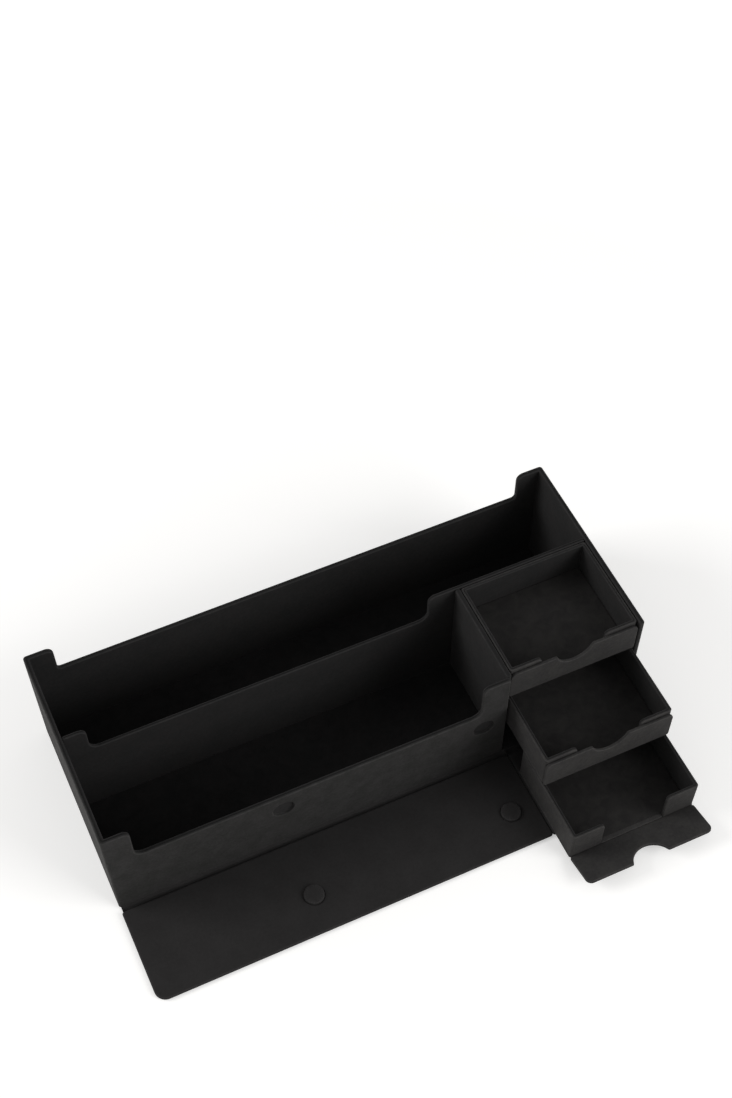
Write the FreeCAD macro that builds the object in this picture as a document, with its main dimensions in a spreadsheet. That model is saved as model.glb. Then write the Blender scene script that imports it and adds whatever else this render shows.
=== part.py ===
import FreeCAD, Part
import os
import re

# Card storage box: an open case of covered board, a fold-down front flap and three card drawers.
# Shared frame: origin on the table under the middle of the case, +X along its length, +Y to its back, +Z up.

os.makedirs("parts", exist_ok=True)
doc = FreeCAD.newDocument("card_storage_box")

# Every size is written here once, in millimetres. A value that starts with = follows from the others.
SIZES = [
    ("case_length", "440"),
    ("case_depth", "173"),
    ("case_height", "107"),
    ("wall", "4"),
    ("base_thick", "3"),
    ("lining_thick", "0.8"),
    ("lining_inset", "0.5"),
    # Back wall: two ears and a lower edge between them
    ("back_ear", "23"),
    ("back_cut", "80"),
    ("back_cut_round", "3"),
    ("ear_round", "6"),
    # Front wall: shorter than the case, so that the drawers can come out beside it
    ("front_lap", "1.5"),
    ("front_ear", "22"),
    ("front_cut", "70.5"),
    ("front_cut_round", "8"),
    # Divider and partition
    ("divider_thick", "3"),
    ("divider_front", "92"),
    ("divider_ear", "18"),
    ("divider_cut", "80"),
    ("divider_step", "22"),
    ("bay_width", "110"),
    ("right_wall_back", "4.6"),
    # Front flap, its studs and its magnets
    ("flap_thick", "3"),
    ("flap_reach", "82.8"),
    ("flap_corner", "9"),
    ("split_gap", "0.5"),
    ("hinge_gap", "0.3"),
    ("stud_pitch", "167"),
    ("stud_end", "19.5"),
    ("stud_radius", "8"),
    ("stud_height", "2.4"),
    ("stud_reach", "50.5"),
    ("recess_clear", "0.7"),
    ("magnet_radius", "5"),
    ("magnet_clear", "0.1"),
    ("flap_magnet_thick", "2"),
    ("wall_magnet_thick", "1"),
    # Drawers
    ("drawer_set_back", "8"),
    ("drawer_back_gap", "0.6"),
    ("side_gap", "0.5"),
    ("slide_gap", "0.3"),
    ("level_gap", "0.6"),
    ("rim_drop", "0.7"),
    ("shelf_thick", "2"),
    ("plate_thick", "1.5"),
    ("plate_lip", "0.3"),
    ("tray_wall", "3"),
    ("tray_floor", "1.2"),
    ("tray_corner", "2"),
    ("post_width", "27"),
    ("post_round", "4"),
    ("middle_pull", "63.2"),
    ("bottom_pull", "114"),
    # Drawer flaps
    ("front_thick", "2.6"),
    ("front_reach", "28"),
    ("front_corner", "5"),
    ("notch_radius", "15.7"),
    ("notch_depth", "11.7"),
    ("notch_round", "1.5"),
    ("small_magnet_radius", "3"),
    ("small_magnet_thick", "1"),
    ("small_magnet_sunk", "0.2"),
    ("small_magnet_down", "6"),
    # Sizes that follow
    ("half_length", "=case_length / 2"),
    ("half_depth", "=case_depth / 2"),
    ("inside_height", "=case_height - base_thick"),
    ("bay_left", "=half_length - wall - bay_width"),
    ("bay_middle", "=bay_left + bay_width / 2"),
    ("partition_left", "=half_length + bay_left - wall"),
    ("front_length", "=partition_left + front_lap"),
    ("divider_cut_end", "=partition_left - divider_step"),
    ("flap_split", "=partition_left + wall - split_gap"),
    ("stud_right", "=front_length - stud_end"),
    ("stud_left", "=stud_right - stud_pitch"),
    ("hinge_out", "=hinge_gap + flap_thick / 2"),
    ("recess_depth", "=stud_height"),
    ("plate_width", "=bay_width - 2 * side_gap"),
    ("tray_width", "=plate_width - 2 * plate_lip"),
    ("tray_depth", "=divider_front - drawer_set_back - drawer_back_gap"),
    ("level_step", "=level_gap + shelf_thick + slide_gap"),
    ("drawer_height", "=(inside_height - rim_drop - slide_gap - 2 * level_step) / 3"),
    ("level_pitch", "=drawer_height + level_step"),
    ("tray_height", "=drawer_height - plate_thick"),
    ("front_out", "=hinge_gap + front_thick / 2"),
    ("post_middle", "=(tray_width - post_width) / 2"),
    ("pocket_depth", "=small_magnet_thick + small_magnet_sunk"),
    ("pocket_radius", "=small_magnet_radius + magnet_clear"),
]

sheet = doc.addObject("Spreadsheet::Sheet", "sizes")
for row, (alias, value) in enumerate(SIZES, 1):
    sheet.set(f"A{row}", alias)
    sheet.set(f"B{row}", value)
    sheet.setAlias(f"B{row}", alias)
doc.recompute()

NAMES = {alias for alias, value in SIZES}
ALONG_Y = FreeCAD.Rotation(FreeCAD.Vector(1, 0, 0), -90)
UPRIGHT = FreeCAD.Rotation()
FOLDED_OUT = FreeCAD.Rotation(FreeCAD.Vector(1, 0, 0), 75)
NODES = []


def bound(text):
    """Turn the bare size names of a formula into references to the sheet."""
    return re.sub(r"[a-z_]+", lambda m: "sizes." + m.group(0) if m.group(0) in NAMES else m.group(0), text)


def value(alias):
    """Read one size from the sheet."""
    return float(sheet.get(alias))


def place(item, at, turn=UPRIGHT):
    """Tie an object's position to three formulas."""
    item.Placement = FreeCAD.Placement(FreeCAD.Vector(), turn)
    for axis, text in zip("xyz", at):
        item.setExpression(f"Placement.Base.{axis}", bound(text))


def measure(item, **lengths):
    """Tie an object's lengths to formulas."""
    for name, text in lengths.items():
        item.setExpression(name, bound(text))


def board(label, size, at):
    """Make a plain rectangular board of its own node."""
    item = doc.addObject("Part::Box", label)
    measure(item, Length=size[0], Width=size[1], Height=size[2])
    place(item, at)
    NODES.append(item)


def body(label, at, turn=UPRIGHT):
    """Start a piece that is shaped in several steps in its own frame."""
    item = doc.addObject("PartDesign::Body", label)
    place(item, at, turn)
    NODES.append(item)
    return item


def block(piece, size, at, cut=False):
    """Add a box to a piece, or cut one out of it."""
    kind = "Subtractive" if cut else "Additive"
    item = piece.newObject(f"PartDesign::{kind}Box", piece.Name + "_block")
    measure(item, Length=size[0], Width=size[1], Height=size[2])
    place(item, at)
    doc.recompute()


def drill(piece, radius, depth, at, turn=UPRIGHT):
    """Cut a round pocket into a piece."""
    item = piece.newObject("PartDesign::SubtractiveCylinder", piece.Name + "_pocket")
    measure(item, Radius=radius, Height=depth)
    place(item, at, turn)
    doc.recompute()


def soften(piece, radius, along, spots):
    """Round the straight edges of a piece that run along one axis through the given spots."""
    base = piece.Tip
    picked = []
    for count, edge in enumerate(base.Shape.Edges, 1):
        ends = [vertex.Point for vertex in edge.Vertexes]
        if len(ends) != 2 or abs((ends[1] - ends[0]).normalize()[along]) < 0.999:
            continue
        cross = [ends[0][axis] for axis in range(3) if axis != along]
        if any(abs(cross[0] - a) < 0.01 and abs(cross[1] - b) < 0.01 for a, b in spots):
            picked.append(f"Edge{count}")
    if not picked:
        raise ValueError(f"{piece.Name} has no edge to round")
    item = piece.newObject("PartDesign::Fillet", piece.Name + "_rounds")
    item.Base = (base, picked)
    measure(item, Radius=radius)
    piece.Tip = item
    doc.recompute()


def discs(label, radius, height, centres, at=("0", "0", "0"), turn=UPRIGHT, lie=UPRIGHT):
    """Make equal round pieces that share one node."""
    items = []
    for count, centre in enumerate(centres, 1):
        item = doc.addObject("Part::Cylinder", f"{label}_disc_{count}")
        measure(item, Radius=radius, Height=height)
        place(item, centre, lie)
        items.append(item)
    group = doc.addObject("Part::Compound", label)
    group.Links = items
    place(group, at, turn)
    NODES.append(group)


# Case: base, plain walls, partition and shelves
board("base_board", ("case_length", "case_depth", "base_thick"), ("-half_length", "-half_depth", "0"))
board("left_wall", ("wall", "case_depth - 2 * wall", "inside_height"),
      ("-half_length", "-half_depth + wall", "base_thick"))
board("right_wall", ("wall", "case_depth - wall - right_wall_back", "inside_height"),
      ("half_length - wall", "-half_depth + right_wall_back", "base_thick"))
board("bay_partition", ("wall", "divider_front - wall", "inside_height"),
      ("bay_left - wall", "-half_depth + wall", "base_thick"))
for level, shelf in enumerate(("lower_shelf", "upper_shelf"), 1):
    board(shelf, ("bay_width", "divider_front - drawer_set_back", "shelf_thick"),
          ("bay_left", "-half_depth + drawer_set_back",
           f"base_thick + {level} * level_pitch - shelf_thick"))


def cut_wall(label, length, thick, at, low, high, level, round_low):
    """Make an upright board with a wide cut in its top edge and a rounded ear at each end of the cut."""
    wall = body(label, at)
    block(wall, (length, thick, "inside_height"), ("0", "0", "0"))
    block(wall, (f"{high[0]} - {low[0]}", f"{thick} + 2", f"case_height - {level} + 1"),
          (low[0], "-1", f"{level} - base_thick"), cut=True)
    top = value("inside_height")
    bottom = value(level) - value("base_thick")
    soften(wall, "ear_round", 1, [(low[1], top), (high[1], top)])
    soften(wall, round_low, 1, [(low[1], bottom), (high[1], bottom)])
    return wall


# Back wall, divider and front wall share one outline
cut_wall("back_wall", "case_length", "wall", ("-half_length", "half_depth - wall", "base_thick"),
         ("back_ear", value("back_ear")),
         ("(case_length - back_ear)", value("case_length") - value("back_ear")),
         "back_cut", "back_cut_round")
cut_wall("mat_divider", "case_length - 2 * wall", "divider_thick",
         ("-half_length + wall", "-half_depth + divider_front", "base_thick"),
         ("divider_ear", value("divider_ear")),
         ("(divider_cut_end - wall)", value("divider_cut_end") - value("wall")),
         "divider_cut", "front_cut_round")
front = cut_wall("front_wall", "front_length", "wall", ("-half_length", "-half_depth", "base_thick"),
                 ("front_ear", value("front_ear")),
                 ("(front_length - front_ear)", value("front_length") - value("front_ear")),
                 "front_cut", "front_cut_round")

# Recesses for the studs in the wall's face, and pockets for its magnets in its back
STUDS = ("stud_left", "stud_right")
RECESS_UP = "flap_thick / 2 + stud_reach"
for stud in STUDS:
    drill(front, "stud_radius + recess_clear", "recess_depth + 1",
          (stud, "-1", f"{RECESS_UP} - base_thick"), ALONG_Y)
    drill(front, "magnet_radius + magnet_clear", "wall_magnet_thick + 1",
          (stud, "wall - wall_magnet_thick", f"{RECESS_UP} - base_thick"), ALONG_Y)
discs("front_wall_magnets", "magnet_radius", "wall_magnet_thick",
      [(f"{stud} - half_length", "-half_depth + wall - wall_magnet_thick", RECESS_UP) for stud in STUDS],
      lie=ALONG_Y)

# Soft linings glued inside
board("deck_floor_lining",
      ("partition_left - wall - 2 * lining_inset", "divider_front - wall - 2 * lining_inset", "lining_thick"),
      ("-half_length + wall + lining_inset", "-half_depth + wall + lining_inset", "base_thick"))
board("mat_floor_lining",
      ("case_length - 2 * wall - 2 * lining_inset",
       "case_depth - divider_front - divider_thick - wall - 2 * lining_inset", "lining_thick"),
      ("-half_length + wall + lining_inset",
       "-half_depth + divider_front + divider_thick + lining_inset", "base_thick"))
board("front_wall_lining",
      ("partition_left - wall - 2 * lining_inset", "lining_thick",
       "front_cut - base_thick - lining_thick - front_cut_round / 2"),
      ("-half_length + wall + lining_inset", "-half_depth + wall", "base_thick + lining_thick"))

# Front flap in two leaves: the long one folds up, the one under the drawers carries the bottom drawer
HINGE = ("-half_length", "-half_depth - hinge_out", "flap_thick / 2")
FLAP_TIP = "(flap_reach - hinge_out)"
flap = body("front_flap_board", HINGE)
block(flap, ("flap_split", f"{FLAP_TIP} + flap_thick / 2", "flap_thick"),
      ("0", f"-{FLAP_TIP}", "-flap_thick / 2"))
half_flap = value("flap_thick") / 2
tip = value("hinge_out") - value("flap_reach")
soften(flap, "flap_thick * 0.49", 0, [(half_flap, half_flap), (half_flap, -half_flap)])
soften(flap, "flap_corner", 2, [(0, tip)])
for stud in STUDS:
    drill(flap, "magnet_radius + magnet_clear", "flap_magnet_thick + 1",
          (stud, "-stud_reach", "flap_thick / 2 - flap_magnet_thick"))
discs("front_flap_magnets", "magnet_radius", "flap_magnet_thick",
      [(stud, "-stud_reach", "flap_thick / 2 - flap_magnet_thick") for stud in STUDS], HINGE)
discs("front_flap_studs", "stud_radius", "stud_height",
      [(stud, "-stud_reach", "flap_thick / 2") for stud in STUDS], HINGE)

BAY_FLAP_LENGTH = "case_length - flap_split - split_gap"
bay_flap = body("bay_flap", ("-half_length + flap_split + split_gap", "-half_depth - flap_reach", "0"))
block(bay_flap, (BAY_FLAP_LENGTH, "flap_reach", "flap_thick"), ("0", "0", "0"))
soften(bay_flap, "flap_corner", 2, [(value("case_length") - value("flap_split") - value("split_gap"), 0)])


def drawer(name, level, pull, turn):
    """Make one drawer: base plate, tray, lining, post magnets, and the flap with its magnets."""
    front_y = f"-half_depth + drawer_set_back - {pull}"
    foot = f"base_thick + slide_gap + {level} * level_pitch"
    tray_left = "bay_middle - tray_width / 2"
    tray_foot = f"{foot} + plate_thick"
    board(f"{name}_base_plate", ("plate_width", "tray_depth", "plate_thick"),
          ("bay_middle - plate_width / 2", front_y, foot))

    # Tray with a floor, two sides, a back and two front posts
    tray = body(f"{name}_tray", (tray_left, front_y, tray_foot))
    width, depth, height = value("tray_width"), value("tray_depth"), value("tray_height")
    post = value("post_width")
    block(tray, ("tray_width", "tray_depth", "tray_height"), ("0", "0", "0"))
    soften(tray, "tray_corner", 2, [(0, 0), (width, 0), (0, depth), (width, depth)])
    block(tray, ("tray_width - 2 * tray_wall", "tray_depth - 2 * tray_wall", "tray_height"),
          ("tray_wall", "tray_wall", "tray_floor"), cut=True)
    block(tray, ("tray_width - 2 * post_width", "tray_wall + 2", "tray_height"),
          ("post_width", "-1", "tray_floor"), cut=True)
    soften(tray, "post_round", 1, [(post, height), (width - post, height)])

    # Magnets face each other: one in each post, one in the flap in front of it
    up = "front_thick / 2 + front_reach - small_magnet_down"
    for side in ("-", "+"):
        drill(tray, "pocket_radius", "pocket_depth + 1",
              (f"tray_width / 2 {side} post_middle", "-1", f"{up} - plate_thick"), ALONG_Y)
    discs(f"{name}_post_magnets", "small_magnet_radius", "small_magnet_thick",
          [(f"bay_middle {side} post_middle", f"{front_y} + small_magnet_sunk", f"{foot} + {up}")
           for side in ("-", "+")], lie=ALONG_Y)
    board(f"{name}_floor_lining",
          ("tray_width - 2 * tray_wall - 2 * lining_inset", "tray_depth - 2 * tray_wall - 2 * lining_inset",
           "lining_thick"),
          (f"{tray_left} + tray_wall + lining_inset", f"{front_y} + tray_wall + lining_inset",
           f"{tray_foot} + tray_floor"))

    # Flap: drawn upright on its hinge axis, then turned as the photo shows it
    hinge = ("bay_middle", f"{front_y} - front_out", f"{foot} + front_thick / 2")
    leaf = body(f"{name}_flap", hinge, turn)
    half_width, half = value("plate_width") / 2, value("front_thick") / 2
    reach = value("front_reach")
    block(leaf, ("plate_width", "front_thick", "front_reach + front_thick / 2"),
          ("-plate_width / 2", "-front_thick / 2", "-front_thick / 2"))
    soften(leaf, "front_thick * 0.49", 0, [(-half, -half), (half, -half)])
    soften(leaf, "front_corner", 1, [(-half_width, reach), (half_width, reach)])
    drill(leaf, "notch_radius", "front_thick + 2",
          ("0", "-front_thick / 2 - 1", "front_reach + notch_radius - notch_depth"), ALONG_Y)
    rise = value("notch_radius") - value("notch_depth")
    mouth = (value("notch_radius") ** 2 - rise ** 2) ** 0.5
    soften(leaf, "notch_round", 1, [(-mouth, reach), (mouth, reach)])
    spots = [(f"{side} post_middle", "front_thick / 2 - pocket_depth", "front_reach - small_magnet_down")
             for side in ("-", "+")]
    for spot in spots:
        drill(leaf, "pocket_radius", "pocket_depth + 1", spot, ALONG_Y)
    discs(f"{name}_flap_magnets", "small_magnet_radius", "small_magnet_thick", spots, hinge, turn, ALONG_Y)


# Bottom drawer out with its flap down to 15 degrees above level, middle drawer partly out, top drawer in
STAIRS = [("bottom", "bottom_pull", FOLDED_OUT), ("middle", "middle_pull", UPRIGHT), ("top", "0", UPRIGHT)]
for level, (name, pull, turn) in enumerate(STAIRS):
    drawer(name, level, pull, turn)

doc.recompute()
for item in doc.Objects:
    if "Invalid" in item.State or "Error" in item.State:
        raise ValueError(f"{item.Name} did not build")
for node in NODES:
    if node.Shape.isNull() or not node.Shape.isValid():
        raise ValueError(f"{node.Label} has no valid shape")
    node.Shape.exportStep(f"parts/{node.Label}.step")
print(len(NODES), "pieces written")
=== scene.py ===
# %% [markdown]
# # A card storage box of covered board
# The real box is grey board wrapped in a thin, suede-like leatherette: an open case, a front flap that
# folds down, and three small drawers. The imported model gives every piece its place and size. This lesson
# gives the pieces what a plain solid lacks: wrapped, softly rounded edges, folded corners, hinge covers and
# finishes.

# %% Load the frame
import math

import bpy
import numpy as np
from mathutils import Matrix, Vector
from mathutils.geometry import delaunay_2d_cdt


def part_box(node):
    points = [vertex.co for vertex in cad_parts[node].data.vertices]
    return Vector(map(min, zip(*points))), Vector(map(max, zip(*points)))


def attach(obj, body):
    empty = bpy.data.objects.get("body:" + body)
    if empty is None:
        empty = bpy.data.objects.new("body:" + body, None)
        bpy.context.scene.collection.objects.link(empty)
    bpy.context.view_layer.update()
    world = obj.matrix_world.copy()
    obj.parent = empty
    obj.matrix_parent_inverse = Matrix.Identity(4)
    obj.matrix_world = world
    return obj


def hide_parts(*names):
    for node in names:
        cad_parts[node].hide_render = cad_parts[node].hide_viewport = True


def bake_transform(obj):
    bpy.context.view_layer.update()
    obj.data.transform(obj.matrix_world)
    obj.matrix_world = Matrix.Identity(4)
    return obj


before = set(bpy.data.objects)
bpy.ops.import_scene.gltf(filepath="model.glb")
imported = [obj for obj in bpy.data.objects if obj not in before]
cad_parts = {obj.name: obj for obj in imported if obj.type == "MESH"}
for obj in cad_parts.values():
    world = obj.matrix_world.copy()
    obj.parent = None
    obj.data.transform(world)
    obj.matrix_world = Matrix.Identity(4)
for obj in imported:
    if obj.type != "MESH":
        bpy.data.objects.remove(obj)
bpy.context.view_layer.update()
MM = 0.001


def node_box(node):
    """Lowest and highest corner of a node of the frame, in millimetres."""
    return np.array(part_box(node)) / MM


# %% [markdown]
# ## Rounded outlines
# Every board of the box is a flat outline with rounded corners: ears, cuts, a finger notch. A designer
# draws such an outline as a few corner points, each with a radius, so that is what the first helper takes.
# It returns the points of the closed path and, at each of them, the direction that points into the board.
# With that direction, a path that lies a little further in costs one addition.

# %% Outline helper
ARC_STEP = math.radians(11.25)
RUN_STEP = 7.0
BREAK_ROOM = 1.5


def run_shares(start, end, breaks):
    """Shares of a straight run where it gets points: even steps, and the breaks where it runs along u."""
    length = np.linalg.norm(end - start)
    even = np.linspace(0, 1, max(2, math.ceil(length / RUN_STEP) + 1))[1:-1]
    if not len(breaks) or abs(end[1] - start[1]) > 1e-6:
        return even
    fixed = (np.asarray(breaks) - start[0]) / (end[0] - start[0])
    fixed = fixed[(fixed > BREAK_ROOM / length) & (fixed < 1 - BREAK_ROOM / length)]
    if not len(fixed):
        return even
    far = np.abs(even[:, None] - fixed).min(1) * length > BREAK_ROOM
    return np.unique(np.r_[even[far], fixed])


def outline(corners, breaks=()):
    """Closed path through corners (u, v, radius), walked with the board on the left, and its inward normals.

    A corner that turns by the angle a and has the radius r becomes an arc that starts r * tan(a / 2) before
    the corner. The inward normal is the path's direction turned left by a quarter turn.
    """
    corners = np.array(corners, float)
    at, radius = corners[:, :2], corners[:, 2]
    into = at - np.roll(at, 1, axis=0)
    into /= np.linalg.norm(into, axis=1)[:, None]
    out = np.roll(into, -1, axis=0)
    turn = np.arctan2(into[:, 0] * out[:, 1] - into[:, 1] * out[:, 0], (into * out).sum(1))
    reach = radius * np.abs(np.tan(turn / 2))
    points, normals = [], []
    for k in range(len(at)):
        angle = np.linspace(0, turn[k], max(3, math.ceil(abs(turn[k]) / ARC_STEP) + 1))
        left = np.array([-into[k, 1], into[k, 0]])
        normal = np.cos(angle)[:, None] * left - np.sin(angle)[:, None] * into[k]
        side = np.sign(turn[k]) * radius[k]
        arc = at[k] - into[k] * reach[k] + side * (left - normal)
        after = (k + 1) % len(at)
        end = at[after] - into[after] * reach[after]
        share = run_shares(arc[-1], end, breaks)[:, None]
        points += [arc, arc[-1] + share * (end - arc[-1])]
        normals += [normal, np.repeat(normal[-1:], len(share), axis=0)]
    return np.concatenate(points), np.concatenate(normals)


def rectangle(low, high, radius):
    """Corners of a plain board with one radius all round."""
    (u0, v0), (u1, v1) = low, high
    return [(u0, v0, radius), (u1, v0, radius), (u1, v1, radius), (u0, v1, radius)]


print("outline of a 100 x 50 board:", len(outline(rectangle((0, 0), (100, 50), 5))[0]), "points")

# %% [markdown]
# ## Finishes
# The cover is polyurethane leatherette with a brushed, suede-like face. Dyed charcoal, it gives the eye a
# faint mottling where the nap lies one way or the other and a very fine grain. Its edges get a tone of their
# own, painted in: a thin paler line along an arris is partly wear and partly a painted highlight where the
# rounded edge catches the light, and the narrow top of a wall is darker with painted shade. A photograph of
# the weave could be wrapped round the boards, but noise in real millimetres has no seams and needs no file.
# The edges are not noise: each board's mesh carries a number called edge, 0 on its faces, up to 1 on an
# arris, for the painted highlight and wear, and below 0 on a top and in its seam groove, for painted shade.

# %% Shader helpers


def colour(code):
    """Linear colour of an sRGB hex value: x / 12.92 where it is dark, else ((x + 0.055) / 1.055) ** 2.4."""
    share = np.array([int(code[k:k + 2], 16) for k in (1, 3, 5)]) / 255
    linear = np.where(share <= 0.04045, share / 12.92, ((share + 0.055) / 1.055) ** 2.4)
    return (*linear.tolist(), 1.0)


def add(tree, kind, sockets, **settings):
    """Adds a node, sets its properties, and sets each named socket or links it to another node's output."""
    made = tree.nodes.new("ShaderNode" + kind)
    for name, setting in settings.items():
        setattr(made, name, setting)
    for name, value in sockets.items():
        if isinstance(value, bpy.types.NodeSocket):
            tree.links.new(value, made.inputs[name])
        else:
            made.inputs[name].default_value = value
    return made


def per_metre(millimetres):
    """Noise scale at which one blotch is about this wide."""
    return 1 / (millimetres * MM)


def new_material(name):
    """An empty material, its node tree and its output node."""
    material = bpy.data.materials.new(name)
    material.use_nodes = True
    material.node_tree.nodes.clear()
    return material, material.node_tree, material.node_tree.nodes.new("ShaderNodeOutputMaterial")


print("charcoal #2a2a29 in linear light:", [round(part, 4) for part in colour("#2a2a29")[:3]])

# %% Leatherette, brushed like suede
MIX_FACTOR, MIX_A, MIX_B, MIX_RESULT = 0, 6, 7, 2
EDGE_SHIFT = 0.6


def leatherette(name, dark, pale, blotch=22.0, grain=0.9, rough=(0.68, 0.82), sheen=0.04):
    """Charcoal cover: mottled nap, fine grain, a paler arris (painted highlight and wear) and darker tops
    (painted shade). Lengths are in millimetres.

    The colour is base * (1 + EDGE_SHIFT * edge * variation), where variation is a nap noise from 0.45 to 1.
    The real grain is about 0.3 mm. It is drawn at 0.9 mm, because a finer one would not show in the render.
    """
    material, tree, out = new_material(name)
    where = add(tree, "TexCoord", {}).outputs["Object"]
    mottle = add(tree, "TexNoise", {"Vector": where, "Scale": per_metre(blotch), "Detail": 4.0,
                                    "Roughness": 0.6})
    nap = add(tree, "TexNoise", {"Vector": where, "Scale": per_metre(2.4), "Detail": 3.0, "Roughness": 0.7})
    fine = add(tree, "TexNoise", {"Vector": where, "Scale": per_metre(grain), "Detail": 2.0,
                                  "Roughness": 0.6})
    pores = add(tree, "TexVoronoi", {"Vector": where, "Scale": per_metre(grain * 1.7)},
                feature="DISTANCE_TO_EDGE")
    spread = add(tree, "MapRange", {"Value": mottle.outputs["Fac"], "From Min": 0.3, "From Max": 0.7})
    fleck = add(tree, "MapRange", {"Value": nap.outputs["Fac"], "From Min": 0.25, "From Max": 0.75,
                                   "To Min": -0.5, "To Max": 0.5})
    tone = add(tree, "Math", {0: spread.outputs[0], 1: fleck.outputs[0]}, operation="ADD", use_clamp=True)
    base = add(tree, "Mix", {MIX_FACTOR: tone.outputs[0], MIX_A: colour(dark), MIX_B: colour(pale)},
               data_type="RGBA")
    # The edge number paints light and shade into the colour: a paler arris (painted highlight and wear) and
    # darker tops (painted shade).
    rim = add(tree, "Attribute", {}, attribute_name="edge")
    arris_light_and_wear = add(tree, "MapRange", {"Value": nap.outputs["Fac"], "From Min": 0.2, "From Max": 0.8,
                                    "To Min": 0.45, "To Max": 1.0})
    edge_light_shade_and_wear = add(tree, "Math", {0: rim.outputs["Fac"], 1: arris_light_and_wear.outputs[0]}, operation="MULTIPLY")
    shift = add(tree, "Math", {0: edge_light_shade_and_wear.outputs[0], 1: EDGE_SHIFT, 2: 1.0}, operation="MULTIPLY_ADD")
    skin = add(tree, "VectorMath", {0: base.outputs[MIX_RESULT], "Scale": shift.outputs[0]},
               operation="SCALE")
    gloss = add(tree, "MapRange", {"Value": tone.outputs[0], "To Min": rough[1], "To Max": rough[0]})
    swell = add(tree, "Bump", {"Height": mottle.outputs["Fac"], "Strength": 0.15, "Distance": 0.5 * MM})
    creases = add(tree, "Bump", {"Height": pores.outputs["Distance"], "Strength": 0.25, "Distance": 0.12 * MM,
                                 "Normal": swell.outputs[0]})
    bump = add(tree, "Bump", {"Height": fine.outputs["Fac"], "Strength": 0.35, "Distance": 0.15 * MM,
                              "Normal": creases.outputs[0]})
    shader = add(tree, "BsdfPrincipled", {
        "Base Color": skin.outputs["Vector"], "Roughness": gloss.outputs[0], "Normal": bump.outputs[0],
        "IOR": 1.5, "Specular IOR Level": 0.07, "Sheen Weight": sheen, "Sheen Roughness": 0.45,
        "Sheen Tint": colour("#b8b2ae")})
    tree.links.new(shader.outputs[0], out.inputs["Surface"])
    return material


CASE_COVER = leatherette("suede_leatherette_charcoal", "#2a2a29", "#333232", blotch=12.0)
FLAP_COVER = leatherette("suede_leatherette_charcoal_smooth", "#282727", "#2b2a2a")
# The inside of the case takes a darker copy of the cover: painted shade of the deep compartments.
INNER_COVER = leatherette("suede_leatherette_near_black_shade", "#252525", "#2a2929")
DRAWER_COVER = leatherette("suede_leatherette_warm_charcoal", "#302f2f", "#383736", blotch=14.0)
print("leatherettes:", CASE_COVER.name, FLAP_COVER.name, INNER_COVER.name, DRAWER_COVER.name)

# %% [markdown]
# The floors are lined with short microfibre, charcoal in the drawers and near black in the case, where the
# darker colour is partly painted shade of the deep compartments. It reflects almost nothing head on and
# glows a little at a shallow angle, because the light catches the tips of the fibres. A sheen lobe does
# exactly that. The magnets lie hidden under the cover. They are nickel plated, so they keep a plain bright
# metal with drawn scratches.

# %% Microfibre and nickel


def microfibre(name, dark, pale):
    """Short pile: blotches of 9 mm where it was stroked, and tufts drawn at 1.1 mm so that they show."""
    material, tree, out = new_material(name)
    where = add(tree, "TexCoord", {}).outputs["Object"]
    stroke = add(tree, "TexNoise", {"Vector": where, "Scale": per_metre(9), "Detail": 3.0, "Distortion": 0.6})
    tufts = add(tree, "TexNoise", {"Vector": where, "Scale": per_metre(1.1), "Detail": 3.0,
                                   "Roughness": 0.75})
    tone = add(tree, "MapRange", {"Value": stroke.outputs["Fac"], "From Min": 0.3, "From Max": 0.7})
    base = add(tree, "Mix", {MIX_FACTOR: tone.outputs[0], MIX_A: colour(dark), MIX_B: colour(pale)},
               data_type="RGBA")
    gloss = add(tree, "MapRange", {"Value": tufts.outputs["Fac"], "To Min": 0.85, "To Max": 1.0})
    bump = add(tree, "Bump", {"Height": tufts.outputs["Fac"], "Strength": 0.6, "Distance": 0.3 * MM})
    shader = add(tree, "BsdfPrincipled", {
        "Base Color": base.outputs[MIX_RESULT], "Roughness": gloss.outputs[0], "Normal": bump.outputs[0],
        "IOR": 1.5, "Specular IOR Level": 0.1, "Sheen Weight": 0.2, "Sheen Roughness": 0.35,
        "Sheen Tint": colour("#a8a6a4")})
    tree.links.new(shader.outputs[0], out.inputs["Surface"])
    return material


def nickel(name, pale, dull):
    """Plated steel: fine drawn lines 0.4 mm apart and a slow change of tone."""
    material, tree, out = new_material(name)
    where = add(tree, "TexCoord", {}).outputs["Object"]
    stretched = add(tree, "Mapping", {"Vector": where, "Scale": (0.08, 1.0, 1.0)})
    lines = add(tree, "TexNoise", {"Vector": stretched.outputs[0], "Scale": per_metre(0.4), "Detail": 2.0})
    base = add(tree, "Mix", {MIX_FACTOR: lines.outputs["Fac"], MIX_A: colour(dull), MIX_B: colour(pale)},
               data_type="RGBA")
    gloss = add(tree, "MapRange", {"Value": lines.outputs["Fac"], "To Min": 0.22, "To Max": 0.4})
    shader = add(tree, "BsdfPrincipled", {"Base Color": base.outputs[MIX_RESULT], "Metallic": 1.0,
                                          "Roughness": gloss.outputs[0]})
    tree.links.new(shader.outputs[0], out.inputs["Surface"])
    return material


# The case lining is near black, partly its own colour and partly painted shade.
LINING = microfibre("microfibre_black_brushed_shade", "#151515", "#1c1b1b")
DRAWER_LINING = microfibre("microfibre_charcoal_brushed", "#232222", "#2b2a29")
NICKEL = nickel("nickel_plated_steel_drawn", "#c9c6bf", "#98958f")
print("linings and plating:", LINING.name, DRAWER_LINING.name, NICKEL.name)

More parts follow.
